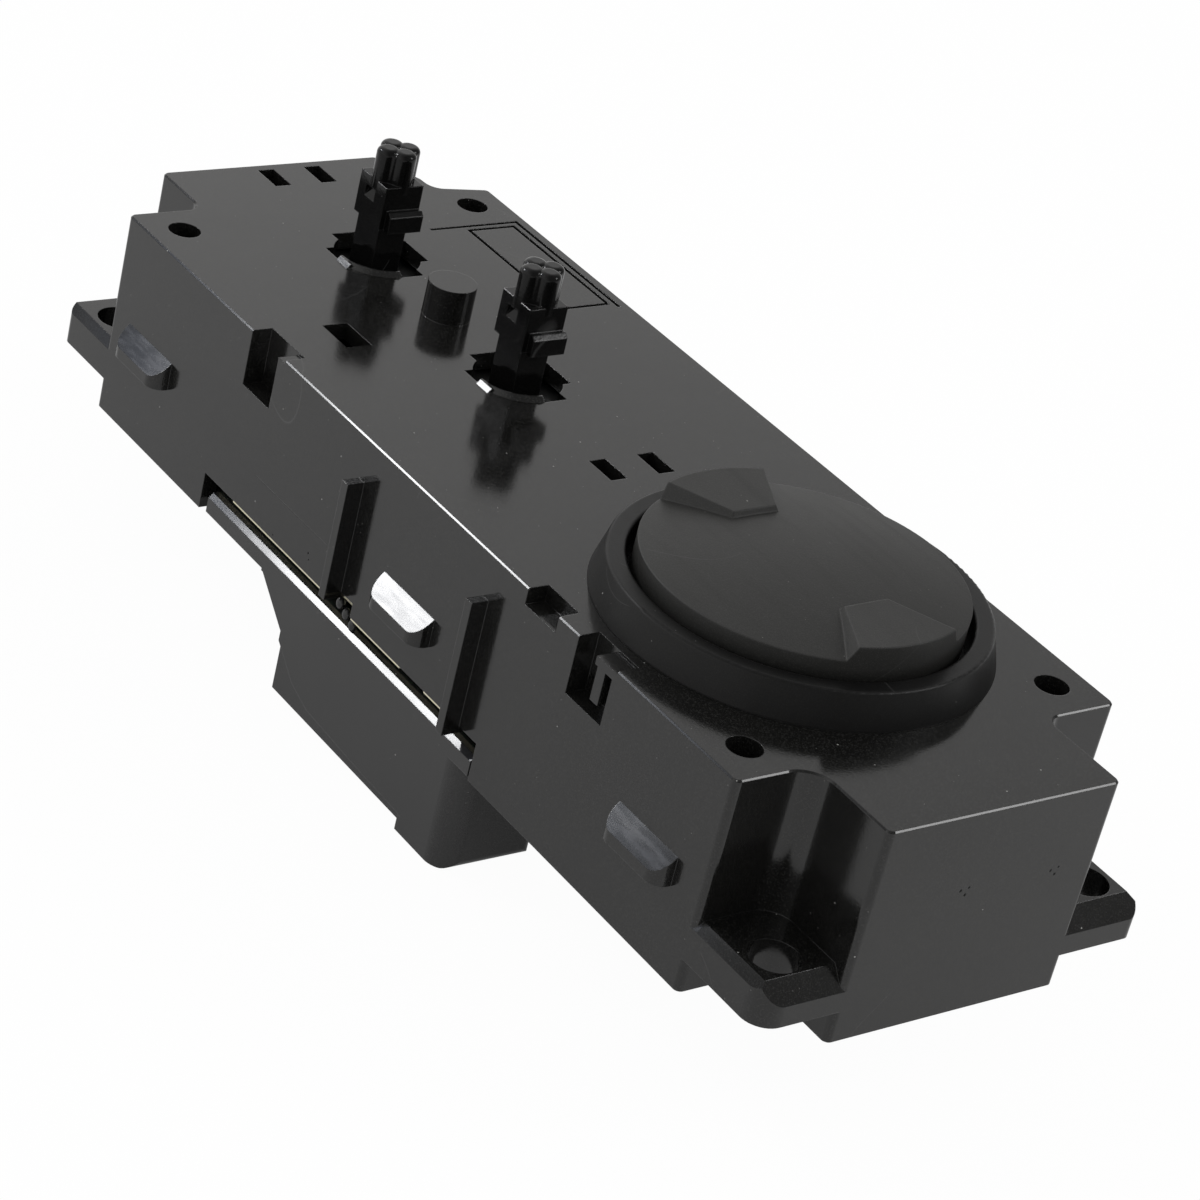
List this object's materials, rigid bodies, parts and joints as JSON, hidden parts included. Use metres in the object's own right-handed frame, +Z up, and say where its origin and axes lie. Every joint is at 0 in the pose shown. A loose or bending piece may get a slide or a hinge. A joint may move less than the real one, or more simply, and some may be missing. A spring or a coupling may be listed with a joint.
{
  "type": "seat adjustment switch",
  "caption": "Long black power-seat switch module with fixing ears, lever stems in star-shaped holes, a round tilting knob in a raised ring and a connector socket below.",
  "frame": {"origin": "centre of the rectangle of the four ear holes, on the underside of the ears", "axes": "+X along the length towards the round knob, +Y across, away from the wall with the snap wedges, +Z up through the top face"},
  "size_m": [0.148, 0.0566, 0.0544],
  "materials": {
    "housing_plastic": "fine-grained black moulding, semi-matt",
    "base_plastic": "fine-grained black moulding, semi-matt",
    "bezel_plastic": "matt black moulding",
    "cap_plastic": "matt black, fine grain",
    "lever_plastic": "smooth black moulding",
    "carrier_plastic": "black acetal",
    "gimbal_plastic": "dark grey acetal",
    "slider_plastic": "natural acetal",
    "board_green": "green solder mask",
    "component_body": "black component bodies",
    "tinned_brass": "tin-plated brass",
    "contact_copper": "rolled copper alloy",
    "screw_steel": "zinc-plated steel",
    "pin_steel": "ground steel",
    "spring_steel": "drawn spring wire"
  },
  "bodies": {
    "module": {"housing": "housing_plastic", "base_cover": "base_plastic", "circuit_board": "board_green", "board_parts": "component_body", "connector_terminals": "tinned_brass", "cover_screws": "screw_steel", "bezel_ring": "bezel_plastic", "stem_1_carrier": "carrier_plastic", "stem_1_return_spring": "spring_steel", "stem_2_carrier": "carrier_plastic", "stem_2_return_spring": "spring_steel", "knob_carrier": "carrier_plastic", "knob_return_spring": "spring_steel"},
    "stem_1_gimbal_body": {"stem_1_gimbal": "gimbal_plastic", "stem_1_pivot_pin": "pin_steel"},
    "stem_1_lever_body": {"stem_1_lever": "lever_plastic"},
    "stem_1_slider_x_body": {"stem_1_slider_x": "slider_plastic", "stem_1_contacts_x": "contact_copper"},
    "stem_1_slider_y_body": {"stem_1_slider_y": "slider_plastic", "stem_1_contacts_y": "contact_copper"},
    "stem_2_gimbal_body": {"stem_2_gimbal": "gimbal_plastic", "stem_2_pivot_pin": "pin_steel"},
    "stem_2_lever_body": {"stem_2_lever": "lever_plastic"},
    "stem_2_slider_x_body": {"stem_2_slider_x": "slider_plastic", "stem_2_contacts_x": "contact_copper"},
    "stem_2_slider_y_body": {"stem_2_slider_y": "slider_plastic", "stem_2_contacts_y": "contact_copper"},
    "knob_gimbal_body": {"knob_gimbal": "gimbal_plastic", "knob_pivot_pin": "pin_steel"},
    "knob_lever_body": {"knob_lever": "lever_plastic", "knob_cap": "cap_plastic"},
    "knob_slider_x_body": {"knob_slider_x": "slider_plastic", "knob_contacts_x": "contact_copper"},
    "knob_slider_y_body": {"knob_slider_y": "slider_plastic", "knob_contacts_y": "contact_copper"}
  },
  "joints": [
    {"name": "stem_1_tilt_across", "type": "hinge", "parent": "module", "child": "stem_1_gimbal_body", "pos_m": [-0.0487, 0.0003, 0.0173], "axis": [1, 0, 0], "range_deg": [-6, 6], "stiffness_Nm_per_rad": 0.3, "deforming": ["stem_1_return_spring"]},
    {"name": "stem_1_tilt_along", "type": "hinge", "parent": "stem_1_gimbal_body", "child": "stem_1_lever_body", "pos_m": [-0.0487, 0.0003, 0.0173], "axis": [0, 1, 0], "range_deg": [-6, 6], "stiffness_Nm_per_rad": 0.3, "deforming": ["stem_1_return_spring"]},
    {"name": "stem_1_slide_along", "type": "slide", "parent": "module", "child": "stem_1_slider_x_body", "axis": [1, 0, 0], "range_m": [-0.0016, 0.0016]},
    {"name": "stem_1_slide_across", "type": "slide", "parent": "module", "child": "stem_1_slider_y_body", "axis": [0, 1, 0], "range_m": [-0.0016, 0.0016]},
    {"name": "stem_2_tilt_across", "type": "hinge", "parent": "module", "child": "stem_2_gimbal_body", "pos_m": [-0.0172, 0.0003, 0.0173], "axis": [1, 0, 0], "range_deg": [-6, 6], "stiffness_Nm_per_rad": 0.3, "deforming": ["stem_2_return_spring"]},
    {"name": "stem_2_tilt_along", "type": "hinge", "parent": "stem_2_gimbal_body", "child": "stem_2_lever_body", "pos_m": [-0.0172, 0.0003, 0.0173], "axis": [0, 1, 0], "range_deg": [-6, 6], "stiffness_Nm_per_rad": 0.3, "deforming": ["stem_2_return_spring"]},
    {"name": "stem_2_slide_along", "type": "slide", "parent": "module", "child": "stem_2_slider_x_body", "axis": [1, 0, 0], "range_m": [-0.0016, 0.0016]},
    {"name": "stem_2_slide_across", "type": "slide", "parent": "module", "child": "stem_2_slider_y_body", "axis": [0, 1, 0], "range_m": [-0.0016, 0.0016]},
    {"name": "knob_tilt_across", "type": "hinge", "parent": "module", "child": "knob_gimbal_body", "pos_m": [0.0368, 0.0003, 0.0173], "axis": [1, 0, 0], "range_deg": [-2.8, 2.8], "stiffness_Nm_per_rad": 0.6, "deforming": ["knob_return_spring"]},
    {"name": "knob_tilt_along", "type": "hinge", "parent": "knob_gimbal_body", "child": "knob_lever_body", "pos_m": [0.0368, 0.0003, 0.0173], "axis": [0, 1, 0], "range_deg": [-2.8, 2.8], "stiffness_Nm_per_rad": 0.6, "deforming": ["knob_return_spring"]},
    {"name": "knob_slide_along", "type": "slide", "parent": "module", "child": "knob_slider_x_body", "axis": [1, 0, 0], "range_m": [-0.0008, 0.0008]},
    {"name": "knob_slide_across", "type": "slide", "parent": "module", "child": "knob_slider_y_body", "axis": [0, 1, 0], "range_m": [-0.0008, 0.0008]}
  ],
  "couplings": [
    {"joint": "stem_1_slide_along", "follows": "stem_1_tilt_along", "m_per_rad": -0.0125},
    {"joint": "stem_1_slide_across", "follows": "stem_1_tilt_across", "m_per_rad": 0.0144},
    {"joint": "stem_2_slide_along", "follows": "stem_2_tilt_along", "m_per_rad": -0.0125},
    {"joint": "stem_2_slide_across", "follows": "stem_2_tilt_across", "m_per_rad": 0.0144},
    {"joint": "knob_slide_along", "follows": "knob_tilt_along", "m_per_rad": -0.0125},
    {"joint": "knob_slide_across", "follows": "knob_tilt_across", "m_per_rad": 0.0144}
  ]
}
